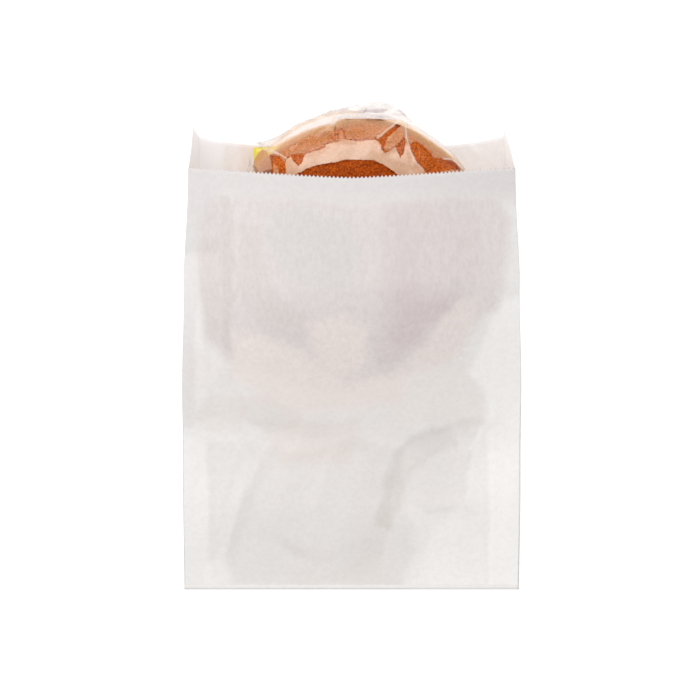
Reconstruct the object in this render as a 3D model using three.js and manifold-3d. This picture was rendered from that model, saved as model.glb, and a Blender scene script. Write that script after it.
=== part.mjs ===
// A white paper sandwich bag with side gussets, lying on its back, and the round sandwich in clear film that
// pokes out of its mouth.
//
// Millimetres. X runs across the bag, Y from its folded bottom edge up to its mouth, and Z up from the table.
// Each paper panel is a thin sheet worked out from the bag's fold lines, given a wall and joined to its
// neighbours along the folds. The sandwich is one closed form, the outside of the film that wraps it.
import * as THREE from "three";
import { mergeVertices } from "three/addons/utils/BufferGeometryUtils.js";
import Module from "manifold-3d";

const wasm = await Module();
wasm.setup();

// --- The flat bag -------------------------------------------------------------------------------------------
const BAG_HALF_WIDTH = 82.5; // a 6 1/2 inch bag
const GUSSET_DEPTH = 12.7; // each side folds in by half an inch
const WALL = 0.5; // the paper's modelled wall
const SLIVER = 0.01;
const MITER_LIMIT = 3; // a tight fold's inner corner reaches no further than this many walls
const MOUTH_STRETCH = 0.5; // how much of the gussets' depth the open mouth pulls flat
const LAP = 0.6; // the share of a wall by which two sheets overlap along a fold
const PINCH_LENGTH = 3.8; // the glued strip along the bottom edge
const FOLDED_HEIGHT = 2.4; // all layers together at the bottom edge

// --- The open bag -------------------------------------------------------------------------------------------
const MOUTH_Y = 204.0; // where the front panel's corners end
const MOUTH_DIP = 7.0; // how far the front edge's middle is drawn down by the bulge
const LIP_Y = 222.6; // where the back panel's corners end
const LIP_DIP = 4.6;
const GUSSET_PEAK_Y = 224.2; // the gusset's middle fold ends in a small peak
const ARCH_DRAW = 0.5; // what an arch of the front panel takes from its width
const MOUTH_FRONT_IN = 2.6; // how far each front corner is drawn in at the mouth beyond that
const MOUTH_BACK_X = 74.8; // half the distance between the back corners at the mouth
const MOUTH_FRONT_Z = 34.0; // height of the front corners at the mouth
const MOUTH_BACK_Z = 9.0;
const FOOT_SIDE_Z = 6.5; // how far the empty foot stands open at its sides
const FOOT_MIDDLE_Z = 8.6; // and in the middle
const OVER_ROLL_Z = 46.0; // what the sandwich adds to the front panel's height
const MOUTH_SLUMP = 2.0; // the front panel sinks a little towards the mouth
const ARCH_POWER = 2.2; // roundness of the front panel across the bag
const BACK_FLAT_X = 54.0; // the back panel lies flat this far from the middle

// --- The toothed cut ----------------------------------------------------------------------------------------
const TEETH = 84;
const TOOTH_HEIGHT = 1.1;
const CUT_BAND = 3.2; // the strip below the teeth where the sheet's mesh turns from coarse to fine
const COLUMNS = 28; // pieces across a panel below that strip
const GUSSET_COLUMNS = 4;
const ROWS = 32; // pieces along every sheet

// --- The wrapped sandwich -----------------------------------------------------------------------------------
const ROLL_X = 4.0; // centre of the roll in the bag
const ROLL_Y = 171.0;
const ROLL_R = 61.2;
const ROLL_BOTTOM_Z = WALL + 0.5;
const ROLL_EQUATOR_Z = 18.0;
const ROLL_TOP_Z = 54.0;
const HEEL_FLAT_R = 45.0;
const CROWN_POWER = 2.6; // flatness of the crown's middle
const HEEL_POWER = 2.4;
const ROLL_SEGMENTS = 64;
const SLACK_FILM = 2.6; // loose film that stands off the roll's upper left
const SLACK_FROM = 84; // its span round the roll, in degrees from +X
const SLACK_TO = 178;
const TAIL_HALF_WIDTH = 18.5; // the gathered end of the film beyond the roll
const TAIL_X = 13.5;
const TAIL_END_Y = 237.8;
const TAIL_ROOT_Y = 222.0;
const TAIL_Z = 21.0;
const TAIL_THICKNESS = 1.3;
const TAIL_WAVE = 1.9;
const TAIL_WAVES = 3.5;

// Soft folds of the slack paper: from a point to a point on the front panel, with a depth and a reach across.
const FOLDS = [
  { from: [56, 82], to: [26, 72], depth: -2.2, reach: 20 },
  { from: [26, 72], to: [16, 36], depth: -2.0, reach: 20 },
  { from: [-70, 84], to: [-30, 80], depth: -1.8, reach: 20 },
  { from: [-48, 50], to: [-58, 18], depth: 1.4, reach: 18 },
];

const clamp = (x) => Math.min(1, Math.max(0, x));
const lerp = (a, b, t) => a + (b - a) * t;
// 0 before a, 1 after b, smooth between them.
function ease(a, b, x) {
  const t = clamp((x - a) / (b - a));
  return t * t * (3 - 2 * t);
}

// --- The bag's fold lines, all as functions of y --------------------------------------------------------------
const frontFoldZ = (y) =>
  FOLDED_HEIGHT + FOOT_SIDE_Z * ease(0, 50, y) +
  (MOUTH_FRONT_Z - FOLDED_HEIGHT - FOOT_SIDE_Z) * ease(66, 152, y);
const backFoldZ = (y) => 0.8 * ease(8, 60, y) + (MOUTH_BACK_Z - 0.8) * ease(74, 152, y);
const middleZ = (y) =>
  FOLDED_HEIGHT + FOOT_MIDDLE_Z * ease(0, 44, y) + OVER_ROLL_Z * ease(66, 150, y) -
  MOUTH_SLUMP * ease(170, MOUTH_Y, y);
// A panel keeps its width, so its folds come closer together as it arches.
const drawnIn = (rise) => (ARCH_DRAW * rise ** 2) / BAG_HALF_WIDTH;
const frontFoldX = (y) =>
  BAG_HALF_WIDTH - drawnIn(middleZ(y) - frontFoldZ(y)) - MOUTH_FRONT_IN * ease(150, MOUTH_Y, y);
const backFoldX = (y) => BAG_HALF_WIDTH - (BAG_HALF_WIDTH - MOUTH_BACK_X) * ease(70, 160, y);

// Height that the folds add to the front panel.
function foldRelief(x, y) {
  let sum = 0;
  for (const { from, to, depth, reach } of FOLDS) {
    const along = [to[0] - from[0], to[1] - from[1]];
    const length = Math.hypot(...along);
    const t = ((x - from[0]) * along[0] + (y - from[1]) * along[1]) / length ** 2;
    const nearest = clamp(t);
    const away = Math.hypot(x - from[0] - nearest * along[0], y - from[1] - nearest * along[1]);
    sum += depth * (1 - ease(0, reach, away));
  }
  return sum * ease(3, 20, y);
}

// --- The bag's panels: share is -1 at the left fold and 1 at the right one ------------------------------------
function frontPoint(share, y) {
  const x = share * frontFoldX(y);
  const lean = ROLL_X * ease(60, 150, y);
  const reach = frontFoldX(y) - Math.sign(x - lean) * lean;
  const arch = 1 - Math.abs((x - lean) / reach) ** ARCH_POWER;
  const z = frontFoldZ(y) + (middleZ(y) - frontFoldZ(y)) * arch;
  return new THREE.Vector3(x, y, z + foldRelief(x, y) * (1 - share ** 8));
}

function backPoint(share, y) {
  const x = share * backFoldX(y);
  const beyond = clamp((Math.abs(x) - BACK_FLAT_X) / (backFoldX(y) - BACK_FLAT_X));
  return new THREE.Vector3(x, y, backFoldZ(y) * beyond ** 2);
}

// A gusset's outer face in the section at y, from its front fold over its middle fold to its back fold. The
// middle fold lies inside the bag by what the two halves leave. Both ends start inside their panel's wall.
function gussetFolds(y) {
  const front = new THREE.Vector2(frontFoldX(y), frontFoldZ(y));
  const back = new THREE.Vector2(backFoldX(y), backFoldZ(y));
  const half = (front.y - back.y) / 2 - WALL;
  const folded = Math.sqrt(Math.max(0, GUSSET_DEPTH ** 2 - half ** 2));
  const middle = front.clone().add(back).divideScalar(2);
  middle.x -= folded * (1 - MOUTH_STRETCH * ease(140, 200, y));
  const sunk = WALL * lerp(LAP, 2 - LAP, Math.abs(middle.x - front.x) / middle.distanceTo(front));
  front.y -= sunk;
  back.y += sunk;
  return [front, middle, back];
}

// The point of a gusset's sheet at y. side is -1 or 1, across runs from -1 at the front fold over 0 at the
// middle fold to 1 at the back fold, and thickness moves the point into the bag, square to the paper.
function gussetPoint(side, across, y, thickness = 0) {
  const [front, middle, back] = gussetFolds(y);
  const intoBag = (end, turn) =>
    new THREE.Vector2(middle.y - end.y, end.x - middle.x).normalize().multiplyScalar(turn * thickness);
  const [atFront, atBack] = [intoBag(front, 1), intoBag(back, -1)];
  const miter = atFront.clone().add(atBack);
  if (thickness) {
    const spread = Math.max(miter.length(), (2 * thickness) / MITER_LIMIT);
    miter.setLength((2 * thickness ** 2) / spread);
  }
  const [end, shift] = across < 0 ? [front, atFront] : [back, atBack];
  const point = middle.clone().add(miter).lerp(end.clone().add(shift), Math.abs(across));
  return new THREE.Vector3(side * point.x, y, point.y);
}

const frontTop = (share) => MOUTH_Y - MOUTH_DIP * (1 - Math.abs(share) ** 1.45);
const backTop = (share) => LIP_Y - LIP_DIP * (1 - Math.abs(share) ** 3);
const gussetTop = (across) => lerp(GUSSET_PEAK_Y, across < 0 ? MOUTH_Y : LIP_Y, Math.abs(across));

// --- Making solids ----------------------------------------------------------------------------------------------
function toSolid(positions, triangles) {
  const geometry = new THREE.BufferGeometry();
  geometry.setAttribute("position", new THREE.Float32BufferAttribute(positions, 3));
  geometry.setIndex(triangles);
  return geometryToSolid(geometry);
}

function geometryToSolid(source) {
  const bare = new THREE.BufferGeometry();
  bare.setAttribute("position", source.getAttribute("position"));
  bare.setIndex(source.index);
  const merged = mergeVertices(bare, 1e-4);
  return new wasm.Manifold(
    new wasm.Mesh({
      numProp: 3,
      vertProperties: merged.attributes.position.array,
      triVerts: new Uint32Array(merged.index.array),
    }),
  );
}

function toGeometry(solid) {
  const mesh = solid.getMesh();
  const geometry = new THREE.BufferGeometry();
  geometry.setAttribute("position", new THREE.BufferAttribute(new Float32Array(mesh.vertProperties), 3));
  geometry.setIndex(new THREE.BufferAttribute(new Uint32Array(mesh.triVerts), 1));
  geometry.computeVertexNormals();
  return geometry;
}

// The sheet's unit normal at a point, from two near neighbours on it.
function sheetNormal(point, share, y) {
  const step = 1e-3;
  const inside = Math.abs(share) > 0.5 ? -Math.sign(share) * step : step;
  const across = point(share + inside, y).sub(point(share, y)).multiplyScalar(Math.sign(inside));
  const along = point(share, y + step).sub(point(share, y));
  return across.cross(along).normalize();
}

// A paper sheet with a wall. point(share, y) is its outer face, top(share) where it ends, and inward turns its
// normal into the bag. inner is its inner face, where that isn't simply the outer one moved by the wall. finer is
// how many pieces each column splits into at the cut, which has teeth if teeth.
function sheetSolid({ point, inner, top, columns, rows, inward, finer = 1, teeth = false }) {
  const positions = [];
  const shareAt = (i, count) => lerp(-1, 1, i / count);
  const innerPoint =
    inner ?? ((share, y) => point(share, y).addScaledVector(sheetNormal(point, share, y), inward * WALL));
  // One row of points on the outer face and then on the inner one; returns the two lists of indices.
  function addRow(count, yAt) {
    const faces = [[], []];
    for (const side of [0, 1])
      for (let i = 0; i <= count; i++) {
        const share = shareAt(i, count);
        const y = yAt(share, i);
        const p = side ? innerPoint(share, y) : point(share, y);
        faces[side].push(positions.length / 3);
        positions.push(p.x, p.y, p.z);
      }
    return faces;
  }
  const coarse = [];
  for (let j = 0; j <= rows; j++)
    coarse.push(addRow(columns, (share) => ((top(share) - CUT_BAND) * j) / rows));
  const tooth = (i) => (teeth ? (i % 2 ? TOOTH_HEIGHT / 2 : -TOOTH_HEIGHT / 2) : 0);
  const cut = addRow(columns * finer, (share, i) => top(share) + tooth(i));

  const triangles = [];
  const add = (a, b, c, turned) => triangles.push(...(turned ? [a, c, b] : [a, b, c]));
  for (const side of [0, 1]) {
    const turned = (side === 1) !== inward > 0;
    for (let j = 0; j < rows; j++)
      for (let i = 0; i < columns; i++) {
        const [a, b] = [coarse[j][side][i], coarse[j][side][i + 1]];
        const [d, c] = [coarse[j + 1][side][i], coarse[j + 1][side][i + 1]];
        add(a, b, c, turned);
        add(a, c, d, turned);
      }
    // The last band: each column's fine pieces fan out from its two lower corners.
    for (let i = 0; i < columns; i++) {
      const [a, b] = [coarse[rows][side][i], coarse[rows][side][i + 1]];
      const fine = cut[side].slice(i * finer, (i + 1) * finer + 1);
      const middle = Math.floor(finer / 2);
      for (let k = 0; k < finer; k++) add(k < middle ? a : b, fine[k + 1], fine[k], turned);
      add(a, b, fine[middle], turned);
    }
  }
  // The rim between the two faces: up one side, along the cut, down the other side and back along the bottom.
  const border = (side) => [
    ...coarse[0][side],
    ...coarse.slice(1).map((row) => row[side][columns]),
    ...cut[side].slice().reverse(),
    ...coarse.slice(1).reverse().map((row) => row[side][0]),
  ];
  const [rim, innerRim] = [border(0), border(1)];
  for (let i = 0; i < rim.length; i++) {
    const next = (i + 1) % rim.length;
    add(rim[i], innerRim[i], innerRim[next], inward > 0);
    add(rim[i], innerRim[next], rim[next], inward > 0);
  }
  return toSolid(positions, triangles);
}

// Joins solids and clears away the slivers and the specks that the joints leave.
function joinAll(solids) {
  const whole = solids.reduce((sum, next) => sum.add(next)).simplify(SLIVER);
  return whole.decompose().reduce((a, b) => (a.volume() > b.volume() ? a : b));
}

// --- The paper bag --------------------------------------------------------------------------------------------
function paperBag() {
  const front = sheetSolid({
    point: frontPoint, top: frontTop, columns: COLUMNS, rows: ROWS,
    inward: -1, finer: (2 * TEETH) / COLUMNS, teeth: true,
  });
  const back = sheetSolid({
    point: backPoint, top: backTop, columns: COLUMNS, rows: ROWS,
    inward: 1, finer: (2 * TEETH) / COLUMNS, teeth: true,
  });
  const gussets = [-1, 1].map((side) =>
    sheetSolid({
      point: (across, y) => gussetPoint(side, across, y),
      inner: (across, y) => gussetPoint(side, across, y, WALL),
      top: gussetTop, columns: GUSSET_COLUMNS, rows: ROWS, inward: -side,
    }),
  );
  const pinch = new THREE.BoxGeometry(2 * BAG_HALF_WIDTH - 1, PINCH_LENGTH, FOLDED_HEIGHT - 0.4);
  pinch.translate(0, PINCH_LENGTH / 2 + 0.1, FOLDED_HEIGHT / 2);
  return joinAll([front, back, ...gussets, geometryToSolid(pinch)]);
}

// --- The wrapped sandwich ---------------------------------------------------------------------------------------
// Half of its section, from the axis at the bottom, round the side, to the axis at the top.
function rollProfile() {
  const profile = [new THREE.Vector2(0, ROLL_BOTTOM_Z), new THREE.Vector2(HEEL_FLAT_R / 2, ROLL_BOTTOM_Z)];
  const heelSteps = 5;
  const crownSteps = 12;
  for (let i = 0; i <= heelSteps; i++) {
    const turn = (i / heelSteps) * (Math.PI / 2);
    profile.push(
      new THREE.Vector2(
        lerp(HEEL_FLAT_R, ROLL_R, Math.sin(turn) ** (2 / HEEL_POWER)),
        lerp(ROLL_EQUATOR_Z, ROLL_BOTTOM_Z, Math.cos(turn) ** (2 / HEEL_POWER)),
      ),
    );
  }
  for (let i = 1; i <= crownSteps; i++) {
    const turn = (i / crownSteps) * (Math.PI / 2);
    const r = i === crownSteps ? 0 : ROLL_R * Math.cos(turn) ** (2 / CROWN_POWER);
    profile.push(new THREE.Vector2(r, lerp(ROLL_EQUATOR_Z, ROLL_TOP_Z, Math.sin(turn))));
  }
  return profile;
}

function wrappedRoll() {
  const body = new THREE.LatheGeometry(rollProfile(), ROLL_SEGMENTS);
  body.rotateX(Math.PI / 2);
  const position = body.getAttribute("position");
  for (let i = 0; i < position.count; i++) {
    const [x, y, z] = [position.getX(i), position.getY(i), position.getZ(i)];
    const r = Math.hypot(x, y);
    if (r < 1) continue;
    const degrees = THREE.MathUtils.radToDeg(Math.atan2(y, x));
    const span = ease(SLACK_FROM, SLACK_FROM + 16, degrees) * (1 - ease(SLACK_TO - 26, SLACK_TO, degrees));
    const level = Math.exp(-(((z - ROLL_EQUATOR_Z - 3) / 12) ** 2));
    const grown = 1 + (SLACK_FILM * span * level * (r / ROLL_R) ** 4) / r;
    position.setXYZ(i, x * grown, y * grown, z);
  }
  body.translate(ROLL_X, ROLL_Y, 0);
  return joinAll([geometryToSolid(body), filmTail()]);
}

// The film's gathered end: a thin wavy band that runs out of the roll, cut to a rounded outline.
function filmTail() {
  const wave = (share) => TAIL_WAVE * Math.sin(share * TAIL_WAVES * Math.PI);
  const band = new THREE.Shape();
  const steps = 28;
  const edge = (i, lift) => {
    const share = i / steps;
    return [lerp(-TAIL_HALF_WIDTH, TAIL_HALF_WIDTH, share), wave(share) + lift];
  };
  band.moveTo(...edge(0, 0));
  for (let i = 1; i <= steps; i++) band.lineTo(...edge(i, 0));
  for (let i = steps; i >= 0; i--) band.lineTo(...edge(i, TAIL_THICKNESS));
  band.closePath();
  const wavy = new THREE.ExtrudeGeometry(band, { depth: TAIL_END_Y - TAIL_ROOT_Y + 4, bevelEnabled: false });
  wavy.rotateX(Math.PI / 2); // the band's own height turns into Z, and its depth into -Y
  wavy.translate(TAIL_X, TAIL_END_Y + 4, TAIL_Z);

  const outline = new THREE.Shape();
  const reach = TAIL_END_Y - TAIL_ROOT_Y;
  outline.moveTo(-TAIL_HALF_WIDTH, 0);
  outline.lineTo(TAIL_HALF_WIDTH, 0);
  outline.lineTo(TAIL_HALF_WIDTH - 3, reach * 0.62);
  outline.quadraticCurveTo(TAIL_HALF_WIDTH * 0.55, reach * 1.02, 0, reach);
  outline.quadraticCurveTo(-TAIL_HALF_WIDTH * 0.7, reach * 0.98, -TAIL_HALF_WIDTH + 1, reach * 0.62);
  outline.closePath();
  const cutter = new THREE.ExtrudeGeometry(outline, { depth: 20, bevelEnabled: false, curveSegments: 6 });
  cutter.translate(TAIL_X, TAIL_ROOT_Y, TAIL_Z - 10);
  return geometryToSolid(wavy).intersect(geometryToSolid(cutter));
}

// --- The part -----------------------------------------------------------------------------------------------------
const bag = new THREE.Group();

const paper = new THREE.MeshStandardMaterial({ color: 0xe9e5e2, roughness: 0.85, metalness: 0, side: THREE.DoubleSide });
const bagMesh = new THREE.Mesh(toGeometry(paperBag()), paper);
bagMesh.name = "paper_bag";
bag.add(bagMesh);

const wrapped = new THREE.MeshStandardMaterial({ color: 0xc4763a, roughness: 0.25, metalness: 0 });
const rollMesh = new THREE.Mesh(toGeometry(wrappedRoll()), wrapped);
rollMesh.name = "wrapped_roll";
bag.add(rollMesh);

// The origin is under the middle of the whole, on the table.
const box = new THREE.Box3().setFromObject(bag);
const middle = box.getCenter(new THREE.Vector3());
bag.position.set(-middle.x, -middle.y, -box.min.z);

export default bag;
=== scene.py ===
"""The looks of a white paper sandwich bag that lies on its back with a film-wrapped round roll in its mouth.

Everything is in metres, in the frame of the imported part: X across the bag, Y towards its mouth, Z up
from the table. The bag is one sheet of paper, folded into a flat tube with side gussets; its bottom edge
is turned over to the back and its toothed mouth is cut lower at the front than at the back.
"""

import math
from functools import reduce

import bmesh
import bpy
from bpy.props import FloatProperty, FloatVectorProperty, IntProperty, PointerProperty
from mathutils import Matrix, Vector, noise


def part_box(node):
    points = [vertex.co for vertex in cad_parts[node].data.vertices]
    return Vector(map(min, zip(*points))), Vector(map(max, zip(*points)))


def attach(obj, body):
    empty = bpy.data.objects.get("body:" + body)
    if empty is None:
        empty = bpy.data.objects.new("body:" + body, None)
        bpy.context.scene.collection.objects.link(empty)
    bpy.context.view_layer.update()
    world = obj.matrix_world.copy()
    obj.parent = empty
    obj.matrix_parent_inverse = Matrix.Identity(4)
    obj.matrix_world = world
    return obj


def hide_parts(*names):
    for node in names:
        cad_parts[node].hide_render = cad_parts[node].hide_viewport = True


bl_info = {
    "name": "Paper bag with a wrapped roll",
    "version": (1, 0, 0),
    "blender": (4, 5, 0),
    "location": "3D View > Sidebar > Paper bag",
    "description": "Builds a white paper sandwich bag with a film-wrapped round roll in its mouth",
    "category": "Add Mesh",
}

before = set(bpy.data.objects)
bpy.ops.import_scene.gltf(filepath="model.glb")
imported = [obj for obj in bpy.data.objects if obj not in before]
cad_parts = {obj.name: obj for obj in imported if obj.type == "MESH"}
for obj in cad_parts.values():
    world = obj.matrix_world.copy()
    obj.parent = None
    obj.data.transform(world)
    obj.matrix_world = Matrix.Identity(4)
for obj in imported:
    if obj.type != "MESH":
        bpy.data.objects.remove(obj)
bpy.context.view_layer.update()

MM = 0.001
FOOT_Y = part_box("paper_bag")[0].y  # the bag's folded bottom edge

# --- The bag's shape; every y here is a distance from its bottom edge -----------------------------
MOUTH_Y = 204.0 * MM  # where the front panel's corners end
MOUTH_DIP = 7.0 * MM  # how far the bulge draws down the middle of the front edge
LIP_Y = 222.6 * MM  # where the back panel's corners end
LIP_DIP = 4.6 * MM  # how far the middle of the back edge is cut lower
GUSSET_PEAK_Y = 225.4 * MM
PEAK_LEAN = 1.5 * MM  # how far both gussets' peaks stand to the left
MOUTH_FRONT_Z = 34.0 * MM
MOUTH_BACK_Z = 9.0 * MM
FOOT_SIDE_Z = 6.5 * MM
FOOT_MIDDLE_Z = 8.6 * MM
OVER_ROLL_Z = 46.0 * MM
MOUTH_SLUMP = 2.0 * MM
ARCH_POWER = 2.2  # how square the front panel arches over the roll
ARCH_DRAW = 0.5  # how much the arch draws the front folds in
MOUTH_FRONT_IN = 2.6 * MM
MOUTH_BACK_X = 74.8 * MM
BACK_FLAT_X = 54.0 * MM  # beyond it the back panel curls up to the gussets
MOUTH_STRETCH = 0.5  # the share by which the gussets pull out at the mouth
TOOTH_HEIGHT = 1.1 * MM
SEAM_LIFT = 0.22 * MM  # the back panel lies on its glued seam and on the turned-over bottom
LEAF_GAP = 0.36 * MM  # from a panel to the leaf of the gusset that lies against it
LEAF_COLUMNS = 12  # of the mesh, in each leaf of a gusset
SEAM_X = 14.0 * MM  # the middle of the glued seam
PASTED = 0.1 * MM  # the thickness of the turned-over bottom and of the seam
UNDERSIDE = 0.02 * MM  # from the table to the paper
GUSSET_MARK = 69.8  # millimetres from the front panel's middle to the ridge that a folded gusset presses up
GUSSET_HOLLOW = 66.5  # and to the hollow beside it

# Creases of the front panel in millimetres: two ends, a depth (up is positive) and the reach to each side.
CREASES = (
    (-70, 86, -37, 78, -1.3, 15),
    (-37, 78, -8, 70, -0.8, 13),
    (66, 83, 45, 78, -1.0, 13),
    (45, 78, 27, 70, -0.9, 15),
    (27, 70, 20, 48, -0.8, 14),
    (20, 48, 15, 15, -1.1, 13),
    (-42, 69, -53, 48, 0.9, 8),
    (-53, 48, -63, 16, 1.0, 8),
    (-38, 26, -18, 14, -0.9, 8),
    (28, 38, 54, 41, 0.8, 8),
    (69, 85, 57, 68, 1.1, 8),
    (57, 68, 54, 41, 1.0, 8),
    (54, 41, 66, 20, 0.6, 8),
    (-8, 70, -16, 40, 0.8, 12),
    (-60, 108, -76, 88, 0.8, 10),
    (58, 112, 74, 92, 0.9, 10),
)

# --- The roll in its film -------------------------------------------------------------------------
ROLL_X = 4.0 * MM
ROLL_Y = 171.0 * MM
ROLL_R = 61.2 * MM
ROLL_BOTTOM_Z = 1.0 * MM
ROLL_EQUATOR_Z = 18.0 * MM
ROLL_TOP_Z = 54.0 * MM
CROWN_POWER = 2.6
HEEL_POWER = 2.4
HEEL_FLAT_R = 45.0 * MM
ROLL_CENTRE = Vector((ROLL_X, ROLL_Y + FOOT_Y, 0.0))
SLACK_FILM = 2.6 * MM  # how far the loose film stands out at the upper left
SLACK_SPAN = (84, 178)  # from where to where it does, in degrees from +X
CORNER_ANGLE = 139.3  # where the cheese's corner looks out, in degrees from +X
CORNER_OUT = 4.6 * MM  # how far that corner pushes the film out
CHEESE_SHIFT = 8.2 * MM  # from the roll's axis to the slice's middle, towards the corner
CHEESE_Z = 21.2 * MM
SPLIT_Z = 21.5 * MM  # where the roll is cut

TAIL_X = 8.6 * MM
TAIL_ROOT_Y = 227.0 * MM
TAIL_END_Y = 237.4 * MM
TAIL_HALF_WIDTH = 20.4 * MM
TAIL_Z = 21.6 * MM
TAIL_PEAK = 0.4  # where its end reaches furthest, from -1 at its left to 1 at its right

# --- The photograph's view ------------------------------------------------------------------------
CAMERA_HEIGHT = 0.75
CAMERA_X = -0.84 * MM
CAMERA_Y = -0.82 * MM
SENSOR = 36.0
LENS = 78.07
PHOTO_PX_PER_MM = 2.024  # on the table
PHOTO_MIDDLE = 350.0
ENDLESS = 1e4  # the height of an upright column


def ease(low, high, value):
    """0 below low, 1 above high and smooth between them."""
    t = min(1.0, max(0.0, (value - low) / (high - low)))
    return t * t * (3 - 2 * t)


def lerp(a, b, t):
    return a + (b - a) * t


def srgb(red, green, blue):
    """A screen colour of 0 to 255 as a linear colour with full alpha."""
    steps = (c / 255 for c in (red, green, blue))
    return tuple(c / 12.92 if c <= 0.04045 else ((c + 0.055) / 1.055) ** 2.4 for c in steps) + (1.0,)


def tone(red, green, blue):
    """A screen colour of 0 to 255 as a linear colour to blend with others."""
    return Vector(srgb(red, green, blue)[:3])


def bell(value, middle, width):
    """1 at the middle, falling off to 0 on both sides."""
    return math.exp(-(((value - middle) / width) ** 2))


def from_line(x, y, ax, ay, bx, by):
    """How far a point is from the line between two ends."""
    run_x, run_y = bx - ax, by - ay
    t = ((x - ax) * run_x + (y - ay) * run_y) / (run_x**2 + run_y**2)
    t = min(1.0, max(0.0, t))
    return math.hypot(x - ax - t * run_x, y - ay - t * run_y)


def pixel_size(height):
    """How many metres one pixel of the photograph shows at a height above the table."""
    return (CAMERA_HEIGHT - height) / CAMERA_HEIGHT * MM / PHOTO_PX_PER_MM


def seen_at(column, row, height):
    """The place in the frame that the photograph shows at a pixel, for a point height above the table."""
    size = pixel_size(height)
    return (CAMERA_X + (column - PHOTO_MIDDLE) * size, CAMERA_Y + (PHOTO_MIDDLE - row) * size)


def film_height(r):
    """The height of the film's crown at a distance from the roll's axis."""
    share = min(1.0, r / ROLL_R)
    return ROLL_EQUATOR_Z + (ROLL_TOP_Z - ROLL_EQUATOR_Z) * math.sqrt(1 - share**CROWN_POWER)


def on_film(column, row):
    """The place on the film that the photograph shows at a pixel."""
    z = 40 * MM
    for _ in range(8):
        x, y = seen_at(column, row, z)
        z = film_height(math.hypot(x - ROLL_X, y - ROLL_Y - FOOT_Y))
    return x, y


def all_on_film(pixels):
    return [on_film(*pixel) for pixel in pixels]


# --- Sizes and colours that a user may change -----------------------------------------------------
def length(name, description, default):
    return FloatProperty(name=name, description=description, default=default, unit="LENGTH", precision=5)


def colour(name, description, default):
    return FloatVectorProperty(
        name=name, description=description, default=default, size=4, subtype="COLOR", min=0.0, max=1.0
    )


class BagSettings(bpy.types.PropertyGroup):
    width: length("Width", "Width of the flat bag", 165.0 * MM)
    gusset: length("Gusset", "How deep each side folds in", 12.7 * MM)
    paper: length("Paper", "Thickness of the paper", 0.16 * MM)
    folded: length("Folded edge", "Height of all layers at the bottom edge", 1.4 * MM)
    flap: length("Turned-over bottom", "How far the bottom is folded over to the back", 14.0 * MM)
    seam: length("Seam", "Width of the glued seam along the back", 11.0 * MM)
    teeth: IntProperty(name="Teeth", description="Teeth along each cut edge", default=84, min=10, max=120)
    rows: IntProperty(name="Rows", description="Rows of the paper's mesh", default=126, min=20, max=200)
    white: colour("Paper", "Colour of the bare paper", srgb(240, 237, 235))
    # The inside is lighter than the bare paper: painted light for the inside of the mouth.
    inside: colour("Inside", "Colour of the paper inside the mouth", srgb(250, 250, 251))


class RollSettings(bpy.types.PropertyGroup):
    radius: length("Bread radius", "Radius of the bread", 59.4 * MM)
    cheese: length("Cheese", "Side of the square slice of cheese", 84.0 * MM)
    crust: colour("Crust", "Colour of the crown's darkest crust", srgb(184, 80, 6))
    rim: colour("Crust rim", "Colour of the crown's paler rim", srgb(226, 112, 30))
    crumb: colour("Heel", "Colour of the heel's side", srgb(222, 176, 118))
    yellow: colour("Cheese", "Colour of the cheese", srgb(255, 232, 48))


class StageSettings(bpy.types.PropertyGroup):
    sky: FloatProperty(name="Sky", description="Strength of the even light", default=0.80, min=0.0, max=5.0)
    key: FloatProperty(name="Key light", description="Watts of the softbox past the mouth", default=21.0)
    side: FloatProperty(name="Side light", description="Watts of the softbox at the left", default=1.4)
    reflector: FloatProperty(name="Reflector", description="Watts of the mirrored card", default=9.0)
    floor: colour("Floor", "Colour of the table", srgb(205, 205, 205))


# --- Shader maths ---------------------------------------------------------------------------------
class Socket:
    """A node's output that takes part in plain expressions; each operation adds its Math node."""

    def __init__(self, finish, output):
        self.finish = finish
        self.output = output

    def maths(self, operation, *values):
        return self.finish.node("ShaderNodeMath", {"operation": operation}, dict(enumerate(values)))

    def __add__(self, other):
        return self.maths("ADD", self, other)

    def __sub__(self, other):
        return self.maths("SUBTRACT", self, other)

    def __rsub__(self, other):
        return self.maths("SUBTRACT", other, self)

    def __mul__(self, other):
        return self.maths("MULTIPLY", self, other)

    __radd__ = __add__

    def least(self, other):
        return self.maths("MINIMUM", self, other)

    def most(self, other):
        return self.maths("MAXIMUM", self, other)

    def toward(self, target, share):
        """This value where share is 0 and target where it is 1."""
        return self + (target - self) * share

    def rise(self, low, high, start=0.0, end=1.0):
        """start below low, end above high and smooth between them."""
        return self.finish.node(
            "ShaderNodeMapRange",
            {"interpolation_type": "SMOOTHSTEP"},
            {"Value": self, "From Min": low, "From Max": high, "To Min": start, "To Max": end},
        )


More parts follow.
